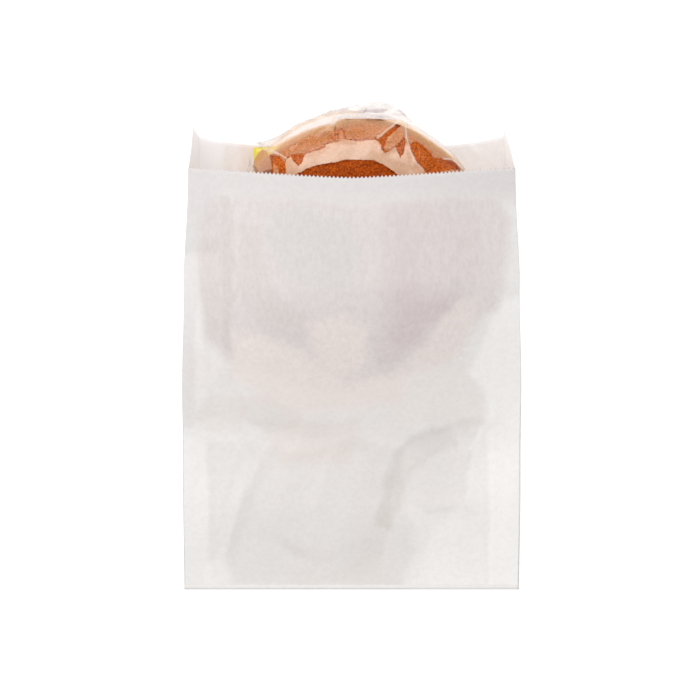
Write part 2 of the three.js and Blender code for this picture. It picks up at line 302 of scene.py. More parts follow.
class Finish:
    """A material under construction, named for the finish it gives."""

    def __init__(self, name):
        self.material = bpy.data.materials.new(name)
        self.material.use_nodes = True
        self.tree = self.material.node_tree
        self.tree.nodes.clear()
        self.place = self.node("ShaderNodeTexCoord", output="Object")

    def node(self, kind, settings=None, inputs=None, output=0):
        """Adds a node: its settings first, then the values or links of its sockets."""
        added = self.tree.nodes.new(kind)
        for name, value in (settings or {}).items():
            if name == "curve":
                points = added.mapping.curves[0].points
                points[0].location, points[-1].location = value[0], value[-1]
                for place in value[1:-1]:
                    points.new(*place)
                for point in points:
                    point.handle_type = "VECTOR"
                added.mapping.update()
            else:
                setattr(added, name, value)
        for name, value in (inputs or {}).items():
            if isinstance(value, Socket):
                self.tree.links.new(value.output, added.inputs[name])
            else:
                added.inputs[name].default_value = value
        return Socket(self, added.outputs[output])

    def noise(self, scale, detail=2.0, roughness=0.5, place=None, output=0):
        return self.node(
            "ShaderNodeTexNoise",
            {"noise_dimensions": "3D"},
            {"Vector": place or self.place, "Scale": scale, "Detail": detail, "Roughness": roughness},
            output,
        )

    def vector(self, operation, *values, output=0):
        return self.node("ShaderNodeVectorMath", {"operation": operation}, dict(enumerate(values)), output)

    def axis(self, place, name):
        return self.node("ShaderNodeSeparateXYZ", None, {0: place}, output=name)

    def mix(self, share, first, second, way="MIX"):
        """first where share is 0, second where it is 1, for colours."""
        settings = {"data_type": "RGBA", "blend_type": way}
        return self.node("ShaderNodeMix", settings, {0: share, 6: first, 7: second}, output=2)

    def wobbled(self, scale, amount, place=None):
        """The place, shifted a little by noise, so that a pattern's edges wander."""
        place = place or self.place
        shift = self.vector("SUBTRACT", self.noise(scale, place=place, output=1), (0.5, 0.5, 0.5))
        return self.vector("MULTIPLY_ADD", shift, (amount, amount, 0.0), place)

    def stretched(self, scale, turn=0.0):
        """The place, scaled along each axis and turned about Z, for patterns with a grain."""
        inputs = {"Vector": self.place, "Rotation": (0.0, 0.0, turn), "Scale": scale}
        return self.node("ShaderNodeMapping", None, inputs)

    def patch(self, place, centre, radii, soft):
        """1 inside an upright elliptic column and 0 outside it, with soft edges."""
        inputs = {"Vector": place, "Location": (*centre, 0.0), "Scale": (*radii, ENDLESS)}
        local = self.node("ShaderNodeMapping", {"vector_type": "TEXTURE"}, inputs)
        return self.vector("LENGTH", local, output="Value").rise(1 - soft, 1 + soft, 1.0, 0.0)

    def facet(self, place, corners, soft):
        """1 inside an upright convex column with its corners anticlockwise, and an edge soft metres wide."""
        depths = []
        for (ax, ay), (bx, by) in zip(corners, corners[1:] + corners[:1]):
            span = math.hypot(bx - ax, by - ay)
            normal = (-(by - ay) / span, (bx - ax) / span, 0.0)
            along = self.vector("DOT_PRODUCT", place, normal, output="Value")
            depths.append(along - (ax * normal[0] + ay * normal[1]))
        return reduce(Socket.least, depths).rise(-soft / 2, soft / 2)

    def facets(self, place, outlines, soft=0.6 * MM):
        """1 inside any of several outlines on the film, given as the photograph's pixels."""
        return reduce(Socket.most, [self.facet(place, all_on_film(outline), soft) for outline in outlines])

    def depth_below(self, place, points):
        """How far y is below that of the line through points, which run towards +X."""
        (x0, _), (x1, _) = points[0], points[-1]
        low, high = min(y for _, y in points), max(y for _, y in points)
        curve = [((x - x0) / (x1 - x0), (y - low) / (high - low)) for x, y in points]
        along = (self.axis(place, "X") - x0) * (1 / (x1 - x0))
        limit = self.node("ShaderNodeFloatCurve", {"curve": curve}, {"Value": along}) * (high - low) + low
        return limit - self.axis(place, "Y")

    def line(self, place, start, end, width):
        """1 on the upright wall over a line from start to end, fading to 0 width away from it."""
        local = self.vector("SUBTRACT", place, (*start, 0.0))
        run = Vector((end[0] - start[0], end[1] - start[1], 0.0))
        share = self.vector("DOT_PRODUCT", local, tuple(run / run.length_squared), output="Value")
        share = share.most(0.0).least(1.0)
        foot = self.vector("SCALE", tuple(run))
        self.tree.links.new(share.output, foot.output.node.inputs["Scale"])
        flat = self.vector("MULTIPLY", self.vector("SUBTRACT", local, foot), (1.0, 1.0, 0.0))
        return self.vector("LENGTH", flat, output="Value").rise(0.0, width, 1.0, 0.0)

    def lines(self, place, chains, width):
        """The same along several chains of lines on the film, given as the photograph's pixels."""
        chains = [all_on_film(chain) for chain in chains]
        pairs = [pair for chain in chains for pair in zip(chain, chain[1:])]
        return reduce(Socket.most, [self.line(place, start, end, width) for start, end in pairs])

    def bump(self, strength, distance, height):
        inputs = {"Strength": strength, "Distance": distance, "Height": height}
        return self.node("ShaderNodeBump", None, inputs)

    def blend(self, share, first, second):
        """The first shader where share is 0 and the second where it is 1."""
        return self.node("ShaderNodeMixShader", None, {0: share, 1: first, 2: second})

    def principled(self, inputs):
        return self.node("ShaderNodeBsdfPrincipled", None, inputs)

    def milky(self, tint, roughness, normal):
        """The cloudy share of a film."""
        inputs = {"Base Color": tint, "Roughness": roughness, "Specular IOR Level": 0.2, "Normal": normal}
        return self.principled(inputs)

    def done(self, shader):
        surface = self.tree.nodes.new("ShaderNodeOutputMaterial").inputs["Surface"]
        self.tree.links.new(shader.output, surface)
        return self.material


# --- Paper ----------------------------------------------------------------------------------------
def paper_bump(finish):
    """The tooth of uncoated paper: matted fibres, faint lines along the bag and soft cockling."""
    fibres = finish.noise(1500, 4.0, 0.65)
    lines = finish.noise(900, 3.0, 0.6, finish.stretched((1.0, 0.12, 1.0)))
    cockle = finish.noise(110, 3.0, 0.55)
    return finish.bump(0.32, 0.3 * MM, fibres * 0.35 + lines * 0.35 + cockle * 1.6)


def paper_shader(finish, shade, glow=0.0):
    mottle = finish.noise(420, 3.0, 0.7).rise(0.35, 0.7)
    shade = finish.mix(mottle, shade, (0.96, 0.955, 0.95, 1.0), "MULTIPLY")
    return finish.principled(
        {
            "Base Color": shade,
            "Roughness": 0.78,
            "Specular IOR Level": 0.25,
            "Emission Color": (1.0, 1.0, 1.0, 1.0),
            "Emission Strength": glow,
            "Normal": paper_bump(finish),
        }
    )


def plain_paper(settings):
    finish = Finish("paper_plain")
    return finish.done(paper_shader(finish, settings.white))


def shaded_paper(name, glow=0.0):
    """Paper whose colour, with painted shade and light, is painted on the mesh, with a darker grain where the
    roll shows through it: a painted see-through shadow.

    glow is an emission: painted light that stands in for the light that comes through the thin sheet from
    outside the bag.
    """
    finish = Finish(name)
    shade = finish.node("ShaderNodeAttribute", {"attribute_name": "shade"}, output="Color")
    share = finish.node("ShaderNodeAttribute", {"attribute_name": "shade"}, output="Alpha")
    # A darker grain where the roll shows through: its painted see-through shadow.
    grain = finish.noise(520, 4.0, 0.75, finish.stretched((1.0, 0.35, 1.0))).rise(0.36, 0.68)
    shade = finish.mix(grain * share, shade, (0.86, 0.84, 0.84, 1.0), "MULTIPLY")
    return finish.done(paper_shader(finish, shade, glow))


# Where the roll shows through the front panel and gives the paper a darker grain, its painted see-through
# shadow, as the photograph's pixels.
ROLL_SHOWS = (
    (200, 215), (200, 300), (210, 338), (232, 362), (300, 384), (345, 392), (375, 383), (430, 372),
    (465, 365), (485, 320), (507, 303), (508, 222), (497, 200), (450, 195), (350, 203), (250, 195),
    (215, 200),
)

# Tones of white paper for painted light and painted shade, and for the painted shadow of the bread that shows
# through it.
BRIGHT = tone(251, 248, 246)
PALE = tone(246, 243, 240)
PALE_ROSE = tone(242, 232, 228)
SOFT_GREY = tone(225, 220, 219)
COOL_GREY = tone(219, 217, 216)
ROSE = tone(225, 215, 213)
WARM = tone(226, 208, 199)
DUSK = tone(206, 198, 192)
MAUVE = tone(200, 178, 182)

# The front panel's painted shade and light: the roll's painted shadow where it shows through, painted shade
# in its creases and dents, and painted light along its edges and layers. A patch's corners as the
# photograph's pixels, the width of its soft edge in millimetres, its share and tone.
FRONT_PAINTED_SHADE = (
    (((165, 172), (165, 255), (222, 255), (222, 172)), 4, 0.9, COOL_GREY),
    (((165, 160), (165, 205), (240, 200), (350, 205), (400, 198), (540, 200), (540, 160)), 12, 0.9,
      SOFT_GREY),
    (((199, 215), (198, 300), (208, 338), (228, 362), (300, 386), (345, 392), (375, 383), (425, 368),
      (450, 360), (470, 328), (502, 303), (510, 222), (499, 200), (450, 195), (350, 203), (250, 197),
      (212, 200)), 7, 0.7, ROSE),
    (((268, 215), (262, 245), (280, 268), (300, 285), (345, 290), (362, 250), (345, 215), (300, 205)), 10,
      0.5, COOL_GREY),
    (((200, 240), (199, 300), (208, 330), (220, 345), (221, 240)), 4, 0.2, DUSK),
    (((222, 195), (221, 300), (224, 350), (232, 352), (233, 300), (231, 200)), 2, 0.3, DUSK),
    (((238, 225), (238, 290), (262, 325), (285, 338), (325, 342), (330, 322), (295, 305), (268, 285),
      (262, 250), (255, 225)), 6, 0.2, DUSK),
    (((305, 322), (318, 362), (340, 378), (362, 368), (368, 330), (345, 315)), 8, 0.8, PALE_ROSE),
    (((383, 205), (380, 260), (375, 300), (395, 312), (457, 312), (482, 290), (482, 222), (470, 203)), 6,
      0.1, MAUVE),
    (((398, 215), (394, 262), (384, 300), (418, 300), (418, 262), (412, 215)), 5, 0.1, MAUVE),
    (((393, 290), (378, 318), (374, 345), (378, 362), (395, 362), (412, 350), (430, 330), (450, 315),
      (456, 296), (440, 286), (410, 284)), 8, 0.15, MAUVE),
    (((398, 312), (390, 335), (394, 350), (410, 348), (428, 328), (448, 310), (445, 300), (415, 305)), 7,
      0.2, MAUVE),
    (((450, 278), (449, 318), (459, 318), (461, 280)), 2, 0.15, DUSK),
    (((371, 381), (386, 376), (408, 362), (405, 352), (382, 354)), 3, 0.1, DUSK),
    (((480, 205), (480, 280), (470, 330), (478, 335), (500, 305), (507, 300), (507, 232), (497, 205)), 4,
      0.1, PALE_ROSE),
    (((455, 300), (430, 335), (408, 362), (440, 368), (462, 352), (476, 322), (478, 300)), 5, 0.65,
      PALE_ROSE),
    (((235, 330), (230, 375), (262, 400), (290, 412), (345, 410), (400, 405), (408, 372), (345, 380),
      (300, 350), (262, 335)), 8, 0.9, PALE_ROSE),
    (((165, 340), (165, 400), (197, 392), (235, 388), (232, 360), (205, 345)), 5, 0.1, WARM),
    (((193, 416), (205, 400), (215, 395), (240, 393), (245, 412), (240, 430), (215, 432), (200, 424)), 3,
      0.2, WARM),
    (((238, 398), (240, 415), (262, 434), (300, 428), (300, 410), (275, 400), (255, 396)), 3, 0.2, WARM),
    (((290, 420), (262, 440), (285, 466), (345, 464), (360, 440), (355, 420)), 9, 0.3, WARM),
    (((395, 365), (385, 400), (400, 425), (440, 425), (470, 430), (489, 420), (480, 395), (476, 365),
      (455, 355)), 5, 0.45, PALE_ROSE),
    (((455, 420), (452, 446), (466, 450), (489, 420)), 2, 0.2, DUSK),
    (((345, 415), (352, 440), (375, 470), (392, 450), (412, 430), (400, 412)), 5, 0.1, WARM),
    (((452, 427), (432, 428), (410, 436), (396, 454), (386, 476), (378, 508), (374, 526), (390, 530),
      (399, 512), (404, 494), (416, 470), (434, 454), (456, 446)), 4, 0.4, DUSK),
    (((432, 452), (412, 470), (402, 505), (425, 515), (466, 507), (470, 452), (452, 446)), 2.5, 0.25,
      DUSK),
    (((516, 296), (504, 303), (482, 345), (472, 372), (484, 395), (490, 422), (540, 428), (540, 296)), 5,
      0.9, BRIGHT),
    (((489, 422), (470, 450), (468, 505), (448, 516), (434, 530), (424, 558), (440, 562), (489, 560),
      (540, 560), (540, 396), (502, 400)), 4, 0.35, BRIGHT),
    (((430, 556), (412, 595), (489, 595), (489, 556)), 10, 0.9, PALE),
    (((489, 430), (489, 595), (540, 595), (540, 405)), 1, 0.7, BRIGHT),
    (((165, 428), (165, 550), (206, 545), (207, 440)), 2, 0.2, BRIGHT),
    (((165, 172), (165, 425), (194, 425), (197, 300), (198, 172)), 3, 0.5, SOFT_GREY),
    (((207, 440), (207, 560), (228, 560), (248, 490), (252, 462), (235, 445)), 3, 0.35, SOFT_GREY),
    (((240, 442), (252, 462), (246, 492), (226, 556), (235, 586), (402, 590), (414, 548), (408, 512),
      (404, 478), (402, 450), (350, 440), (290, 455)), 7, 0.25, DUSK),
    (((365, 468), (352, 500), (345, 540), (350, 575), (372, 560), (378, 510), (375, 470)), 7, 0.05,
      MAUVE),
    (((372, 520), (360, 555), (330, 575), (380, 578), (392, 545), (388, 515)), 7, 0.1, WARM),
    (((274, 536), (290, 552), (305, 558), (308, 552), (290, 538)), 2, 0.1, DUSK),
    (((288, 545), (300, 560), (335, 562), (335, 550), (305, 543)), 3, 0.1, WARM),
    (((290, 565), (290, 590), (400, 590), (395, 562), (350, 570)), 4, 0.1, WARM),
    (((203, 563), (203, 589), (215, 589), (213, 563)), 2, 0.4, PALE),
    (((219, 170), (219, 226), (221.5, 226), (221.5, 170)), 0.8, 0.1, PALE),
    (((232, 588), (190, 584), (186, 590), (519, 590), (519, 585)), 1, 0.25, PALE),
)
# The same for what shows inside the mouth, the back panel's lip and the gussets: painted shade, warmer and
# darker towards the roll.
INSIDE_PAINTED_SHADE = (
    (((222, 120), (222, 200), (300, 200), (300, 120)), 4, 0.75, tone(238, 232, 228)),
    (((240, 120), (236, 200), (300, 200), (300, 120)), 7, 0.8, tone(236, 219, 208)),
    (((440, 120), (440, 200), (505, 200), (505, 120)), 3, 0.8, tone(235, 232, 231)),
    (((440, 140), (440, 200), (476, 200), (462, 140)), 6, 0.4, tone(230, 224, 220)),
)
GRAIN_SOFT = 8  # the soft edge of ROLL_SHOWS in millimetres
SEEN_THROUGH_SHADOW_GRAIN = 0.4
WANDER_SEED = 1  # without it the patches' edges would wander differently in each run


def edge_distance(x, y, corners):
    """How far a point is inside (above zero) or outside a polygon's outline."""
    nearest, inside = math.inf, False
    for (ax, ay), (bx, by) in zip(corners, corners[1:] + corners[:1]):
        nearest = min(nearest, from_line(x, y, ax, ay, bx, by))
        if (ay > y) != (by > y) and x < ax + (y - ay) / (by - ay) * (bx - ax):
            inside = not inside
    return nearest if inside else -nearest


def inside_outline(column, row, corners, soft):
    """1 inside an outline and 0 outside it, with an edge soft millimetres wide."""
    reach = soft * PHOTO_PX_PER_MM / 2
    for place, ends in zip((column, row), zip(*corners)):
        if not min(ends) - reach < place < max(ends) + reach:
            return 0.0
    return ease(-reach, reach, edge_distance(column, row, corners))


def painted(point, base, shades, grain):
    """The paper's painted colour at a point, with painted shade and light, and how much of the roll shows
    through there as a painted shadow grain.
    """
    wander = Vector((0.0, 0.0, 0.0))
    for scale, amount in ((40, 1.8), (140, 1.5), (420, 0.8)):
        wander += noise.noise_vector(point * scale) * amount * MM
    size = pixel_size(point.z)
    column = PHOTO_MIDDLE + (point.x + wander.x - CAMERA_X) / size
    row = PHOTO_MIDDLE - (point.y + wander.y - CAMERA_Y) / size
    shade = Vector(base[:3])
    for corners, soft, share, tint in shades:
        shade = shade.lerp(tint, inside_outline(column, row, corners, soft) * share)
    return (*shade, inside_outline(column, row, ROLL_SHOWS, GRAIN_SOFT) * grain)


# --- The film -------------------------------------------------------------------------------------
# Its folds, as the photograph's pixels. Three edges run across it towards +X: the film is tight on the crown
# below the first, has a painted glare, a painted reflection of the softbox, up to the second, lies in a loose
# ring up to the third, milky with some painted reflection, and is clear further out.
TAUT_EDGE = (
    (270, 186), (292, 176.5), (298, 173.6), (309, 167.9), (322, 163.6), (336, 162), (344, 159.6), (374, 160),
    (382, 163.6), (391, 169.3), (397, 174.3), (420, 186),
)
PAINTED_GLARE_EDGE = (
    (262, 190), (284, 176), (286.5, 160), (292, 156), (302, 155.5), (311, 152), (324, 147), (326, 143.7),
    (338, 142.3), (345, 139), (359, 141.2), (376.4, 139), (379.5, 142), (382, 150), (386, 152.3), (395, 147),
    (403, 139), (405, 140), (409.3, 149.3), (415, 162), (424, 172.5), (440, 190),
)
RING_EDGE = (
    (246, 172), (262, 156), (269, 150), (282, 142), (294, 136), (308, 129.5), (325, 124.5), (334, 124),
    (338, 120), (347, 117), (360, 115.5), (378, 116), (392, 119), (405, 123), (422, 135), (446, 151),
    (466, 168),
)
# Where it clings to the crust, hangs in a flap, and lies brown at the left, in painted shade that is darkest
# low down.
WINDOWS = (
    ((397.9, 123.5), (385, 132.9), (379, 138.5), (388, 137), (401, 126)),
    ((379, 138.5), (381.5, 147), (385, 152), (388, 137)),
    ((404, 136), (395.5, 147), (398, 153), (400, 158), (404, 153), (406, 142)),
    ((409.3, 144.3), (415, 161), (424, 172.5), (441, 173), (430, 152), (422, 144.3), (416.4, 141.4)),
    ((424, 172.5), (464, 170), (459, 164), (451, 160.5), (443.6, 158.8), (430, 157)),
    ((270.5, 155), (271, 173), (286, 174), (285.5, 164), (279, 156)),
    ((291, 155), (293, 161), (298, 166), (303, 162), (304.5, 154)),
)
FLAPS = (
    ((400.7, 126), (388, 137), (384.5, 147.9), (386, 151.5), (395, 146), (403, 138), (404.3, 128)),
    ((273, 163.5), (274, 176), (280.5, 176), (277, 166)),
)
BROWN_SHADED_FOLDS = (
    ((263, 151.5), (257, 158), (254.5, 164), (254.5, 172), (257, 176), (273, 175), (271, 160), (268, 153)),
)
DARKEST_SHADED_FOLDS = (
    ((254, 166.5), (255, 176), (262, 176), (259, 170.5)),
    ((259, 171.5), (262, 176), (274, 176), (272, 167.5), (266, 170)),
)
PALE_MARGIN = (((264, 152), (262, 146), (284, 134), (292, 142), (283, 152), (270, 154)),)
CHEESE_SHOWS = (256.5, 154)
# Painted shadows along its folds, and painted highlights on its ridges.
FOLD_SHADOWS = (
    ((286, 158.5), (292, 155), (302, 154.5), (311, 151.5), (324, 146.5), (325.5, 143.5), (331, 141.8)),
    ((335, 128), (335.3, 141)),
    ((331.5, 136), (335, 141)),
    ((338.2, 141), (338.2, 131), (341, 128), (344.2, 131), (344.6, 138.6)),
    ((344.6, 138.6), (359, 140.6), (376, 138.6), (379.8, 142), (382, 149.5), (385.7, 151.9), (395, 146.6)),
    ((396, 146), (403, 138)),
    ((258, 158), (256.4, 165)),
)
FOLD_HIGHLIGHTS = (
    ((398.5, 121.5), (385, 132), (378, 138)),
    ((405, 123), (406.4, 138), (409.3, 149), (415, 162), (424, 172)),
    ((444, 158), (452, 159.5), (463, 168)),
    ((268, 150.5), (278, 153), (286.5, 158)),
    ((269, 152), (279, 154)),
    ((333, 117), (333.6, 124)),
    ((399, 121), (405, 124)),
)


def film_finish():
    """Clear film: see-through, glossy, and milky where it stands off the crust in folds, with a painted glare
    band, painted shadows and highlights along its folds, and painted shade in the folds at the left.
    """
    finish = Finish("clear_film")
    place = finish.wobbled(520, 0.9 * MM, finish.wobbled(140, 1.2 * MM))
    taut = finish.depth_below(place, all_on_film(TAUT_EDGE)).rise(-0.3 * MM, 0.3 * MM)
    painted_glare = finish.depth_below(place, all_on_film(PAINTED_GLARE_EDGE)).rise(-0.3 * MM, 0.3 * MM)
    outer = finish.depth_below(place, all_on_film(RING_EDGE))
    ring = outer.rise(-1.0 * MM, 1.8 * MM)
    paler = outer.rise(0.5 * MM, 6 * MM, 1.0, 0.0)
    window = finish.facets(place, WINDOWS)
    flap = finish.facets(place, FLAPS)
    brown_fold_shade = finish.facets(place, BROWN_SHADED_FOLDS)
    darkest_fold_shade = finish.facets(place, DARKEST_SHADED_FOLDS)
    pale = finish.facets(place, PALE_MARGIN, 1.0 * MM)
    # Painted shadows along the folds and painted highlights on the ridges.
    shadow = finish.lines(place, FOLD_SHADOWS, 0.9 * MM)
    ridge_highlight = finish.lines(place, FOLD_HIGHLIGHTS, 1.1 * MM)
    corner = finish.patch(place, on_film(*CHEESE_SHOWS), (4.0 * MM, 5.0 * MM), 0.2)
    bread = finish.patch(finish.place, ROLL_CENTRE.xy, (60.0 * MM, 60.0 * MM), 0.016)
    near = finish.patch(finish.place, ROLL_CENTRE.xy, (61.8 * MM, 61.8 * MM), 0.03)
    side = finish.axis(finish.place, "Z").rise(18 * MM, 25 * MM, 1.0, 0.0)
    speckle = finish.noise(900, 4.0, 0.75).rise(0.36, 0.64)
    crumple = finish.noise(210, 3.0, 0.6, finish.wobbled(70, 9 * MM)).rise(0.42, 0.58)

    # The haze: whiter in the painted glare band, thinner along the painted fold shadows, paler on the painted
    # ridge highlights.
    haze = (0.20 + speckle * 0.12 + paler * 0.28).toward(0.52 + speckle * 0.1, painted_glare)
    haze = (haze * (1 - taut)).toward(0.83, 1 - ring)
    haze = haze * (1 - window * 0.95) * (1 - shadow * 0.85)
    haze = haze.toward(0.34 + speckle * 0.2, flap).most(ridge_highlight * 0.6)
    haze = haze.toward(0.16 + speckle * 0.1, side * (1 - window))
    haze = haze * bread + (1 - bread) * (0.2 + crumple * 0.3 + near * 0.28)
    haze = haze.most(pale * 0.88) * (1 - corner * 0.85)
    haze = haze.most(brown_fold_shade * (0.7 + speckle * 0.2))

    # The tint: pale in the painted glare band and on the painted ridge highlights.
    tint = finish.mix(painted_glare, srgb(255, 203, 142), srgb(255, 215, 180))
    tint = finish.mix(flap, tint, srgb(248, 184, 132))
    tint = finish.mix(ring, srgb(247, 234, 227), tint)
    tint = finish.mix(ridge_highlight, tint, srgb(252, 228, 207))
    margin = finish.mix(crumple, srgb(255, 246, 238), srgb(224, 217, 214))
    margin = finish.mix(near, margin, srgb(234, 198, 164))
    tint = finish.mix(pale, finish.mix(bread, margin, tint), srgb(228, 213, 204))
    # Painted shade in the brown and the darkest folds at the left of the roll.
    tint = finish.mix(brown_fold_shade, tint, srgb(206, 142, 102))
    tint = finish.mix(darkest_fold_shade, tint, srgb(150, 78, 34))

    normal = finish.bump(0.25, 0.6 * MM, finish.noise(260, 3.0, 0.6, finish.wobbled(90, 6 * MM)))
    milky = finish.milky(tint, 0.45, normal)
    body = finish.blend(haze, finish.node("ShaderNodeBsdfTransparent"), milky)
    gloss = finish.node("ShaderNodeBsdfGlossy", None, {"Roughness": 0.09, "Normal": normal})
    facing = finish.node("ShaderNodeFresnel", None, {"IOR": 1.4, "Normal": normal}).least(0.09)
    facing = facing * (1 - taut * 0.96) * (1 - corner) * (1 - window * 0.7)
    return finish.done(finish.blend(facing, body, gloss))


def tail_finish():
    """The gathered end of the film: loose layers, milky white with faint grey pleats."""
    finish = Finish("gathered_film")
    turned = finish.stretched((0.4, 1.0, 0.4), 0.35)
    folds = finish.noise(330, 3.0, 0.6, finish.wobbled(120, 5 * MM, turned))
    tint = finish.mix(folds.rise(0.52, 0.66), srgb(252, 247, 244), srgb(224, 210, 210))
    milky = finish.milky(tint, 0.4, finish.bump(0.3, 0.6 * MM, folds))
    haze = 0.34 + folds.rise(0.4, 0.68) * 0.3
    return finish.done(finish.blend(haze, finish.node("ShaderNodeBsdfTransparent"), milky))


# --- Bread and cheese -----------------------------------------------------------------------------
def crust_finish(settings):
    """Baked crust, darkest on the crown, paler to the rim, with a fine pebbled grain."""
    finish = Finish("baked_crust")
    height = finish.axis(finish.place, "Z")
    spot = finish.vector("DISTANCE", finish.place, (*ROLL_CENTRE.xy, 42 * MM), output="Value")
    blotches = finish.noise(60, 4.0, 0.6)
    rim = (spot + (blotches - 0.5) * (16 * MM)).rise(32 * MM, 56 * MM)
    shade = finish.mix(rim, settings.crust, settings.rim)
    cells = {"Vector": finish.wobbled(600, 1.2 * MM), "Scale": 700.0}
    grain = finish.node("ShaderNodeTexVoronoi", {"feature": "F1"}, cells)
    pebbles = finish.noise(1000, 4.0, 0.65)
    shade = finish.mix(pebbles.rise(0.42, 0.6) * 0.75, shade, srgb(116, 36, 0))
    shade = finish.mix(grain.rise(0.05, 0.4, 1.0, 0.0) * 0.4, shade, srgb(226, 116, 14))
    shade = finish.mix(height.rise(18 * MM, 24 * MM, 1.0, 0.0), shade, srgb(214, 150, 84))
    relief = grain * -0.6 + pebbles + blotches * 1.5
    normal = finish.bump(0.55, 0.6 * MM, relief)
    inputs = {"Base Color": shade, "Roughness": 0.6, "Specular IOR Level": 0.05, "Normal": normal}
    return finish.done(finish.principled(inputs))


def heel_finish(settings):
    finish = Finish("pale_bread")
    height = finish.axis(finish.place, "Z")
    crumb = finish.noise(420, 5.0, 0.7)
    shade = finish.mix(crumb.rise(0.4, 0.7), settings.crumb, srgb(198, 138, 78))
    shade = finish.mix(height.rise(1 * MM, 7 * MM, 1.0, 0.0), shade, srgb(170, 96, 40))
    normal = finish.bump(0.6, 0.7 * MM, crumb)
    return finish.done(finish.principled({"Base Color": shade, "Roughness": 0.7, "Normal": normal}))


def cheese_finish(settings):
    finish = Finish("sliced_cheese")
    cloud = finish.noise(140, 2.0)
    shade = finish.mix(cloud.rise(0.35, 0.65) * 0.5, settings.yellow, srgb(255, 238, 110))
    normal = finish.bump(0.2, 0.3 * MM, finish.noise(600))
    inputs = {"Base Color": shade, "Roughness": 0.38, "Subsurface Weight": 0.15, "Normal": normal}
    return finish.done(finish.principled(inputs))


# --- Making objects -------------------------------------------------------------------------------
def grid(columns, rows, half):
    """A new mesh: a flat grid that reaches half to each side of the origin."""
    mesh = bmesh.new()
    bmesh.ops.create_grid(mesh, x_segments=columns, y_segments=rows, size=half)
    return mesh


def placed_object(name, mesh, materials):
    """Turns a bmesh into an object of the scene."""
    data = bpy.data.meshes.new(name)
    mesh.to_mesh(data)
    mesh.free()
    for material in materials:
        data.materials.append(material)
    placed = bpy.data.objects.new(name, data)
    bpy.context.scene.collection.objects.link(placed)
    return placed


def finished(name, mesh, materials, replaced=None):
    """Turns a bmesh into a smooth piece that rides with the part."""
    piece = placed_object(name, mesh, materials)
    for polygon in piece.data.polygons:
        polygon.use_smooth = True
    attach(piece, "root")
    if replaced:
        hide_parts(replaced)
    return piece


def solidify(piece, thickness, offset=-1.0, **settings):
    """Gives a sheet its thickness, for good: below its face, or on both sides with an offset of 0."""
    modifier = piece.modifiers.new("Thickness", "SOLIDIFY")
    for name, value in {"thickness": thickness, "offset": offset, **settings}.items():
        setattr(modifier, name, value)
    with bpy.context.temp_override(object=piece, active_object=piece, selected_objects=[piece]):
        bpy.ops.object.modifier_apply(modifier=modifier.name)


# --- The bag's folds, as in the part's source -----------------------------------------------------
class BagShape:
    """Where the paper lies. y is the distance from the bottom edge, and all results are in metres."""

    def __init__(self, settings):
        self.half = settings.width / 2
        self.gusset = settings.gusset
        self.folded = settings.folded

    def front_fold_z(self, y):
        rise = MOUTH_FRONT_Z - self.folded - FOOT_SIDE_Z
        return self.folded + FOOT_SIDE_Z * ease(0, 50 * MM, y) + rise * ease(66 * MM, 152 * MM, y)

    def back_fold_z(self, y):
        foot = 0.8 * MM
        rise = (MOUTH_BACK_Z - foot) * ease(74 * MM, 152 * MM, y)
        return SEAM_LIFT + foot * ease(8 * MM, 60 * MM, y) + rise

    def middle_z(self, y):
        return (
            self.folded + FOOT_MIDDLE_Z * ease(0, 44 * MM, y)
            + (OVER_ROLL_Z + 1 * MM) * ease(66 * MM, 150 * MM, y)
            - MOUTH_SLUMP * ease(170 * MM, MOUTH_Y, y)
        )

    def front_fold_x(self, y):
        rise = self.middle_z(y) - self.front_fold_z(y)
        return self.half - ARCH_DRAW * rise**2 / self.half - MOUTH_FRONT_IN * ease(150 * MM, MOUTH_Y, y)

    def back_fold_x(self, y):
        return self.half - (self.half - MOUTH_BACK_X) * ease(70 * MM, 160 * MM, y)

    def gusset_folds(self, y):
        front = Vector((self.front_fold_x(y), self.front_fold_z(y)))
        back = Vector((self.back_fold_x(y), self.back_fold_z(y)))
        half = (front.y - back.y) / 2
        tucked = math.sqrt(max(0.0, self.gusset**2 - half**2))
        middle = (front + back) / 2
        middle.x -= tucked * (1 - MOUTH_STRETCH * ease(140 * MM, 200 * MM, y))
        return front, middle, back

    def front(self, share, y):
        x = share * self.front_fold_x(y)
        lean = ROLL_X * ease(60 * MM, 150 * MM, y)
        reach = self.front_fold_x(y) - math.copysign(lean, x - lean)
        arch = 1 - min(1.0, abs((x - lean) / reach)) ** ARCH_POWER
        side = self.front_fold_z(y)
        z = side + (self.middle_z(y) - side) * arch
        free = 1 - abs(share) ** 8
        return Vector((x, y + FOOT_Y, z + dents(x / MM, y / MM) * MM * free))

    def back(self, share, y):
        x = share * self.back_fold_x(y)
        beyond = max(0.0, (abs(x) - BACK_FLAT_X) / (self.back_fold_x(y) - BACK_FLAT_X))
        curl = (self.back_fold_z(y) - SEAM_LIFT) * beyond**2
        wave = 0.35 * MM * noise.noise(Vector((x / MM / 30, y / MM / 34, 5.0))) * ease(205 * MM, 222 * MM, y)
        z = SEAM_LIFT + curl + max(0.0, wave) + lip_crease(x / MM, y / MM) * MM
        return Vector((x, y + FOOT_Y, z))

    def gusset_at(self, side, across, y):
        """side is 1 at the right, and across runs from -1 at the front fold to 1 at the back fold."""
        front, middle, back = self.gusset_folds(y)
        reach = abs(across)
        point = middle.lerp(front if across < 0 else back, reach)
        clear = LEAF_GAP * math.sqrt(reach) * (1 - ease(0.9, 1.0, reach))
        lean = PEAK_LEAN * ease(195 * MM, GUSSET_PEAK_Y, y) * (1 - reach)
        return Vector((side * point.x - lean, y + FOOT_Y, point.y + math.copysign(clear, across)))


def triangle_wave(value):
    """From -1 to 1 and back over each whole number."""
    return 1 - 4 * abs(value % 1 - 0.5)


def crease(x, y, ax, ay, bx, by, depth, reach):
    """A sharp fold's height at a point: full on the line between its ends, falling off to each side."""
    away = from_line(x, y, ax, ay, bx, by) / reach
    return depth * (1 - away) ** 1.6 if away < 1 else 0.0


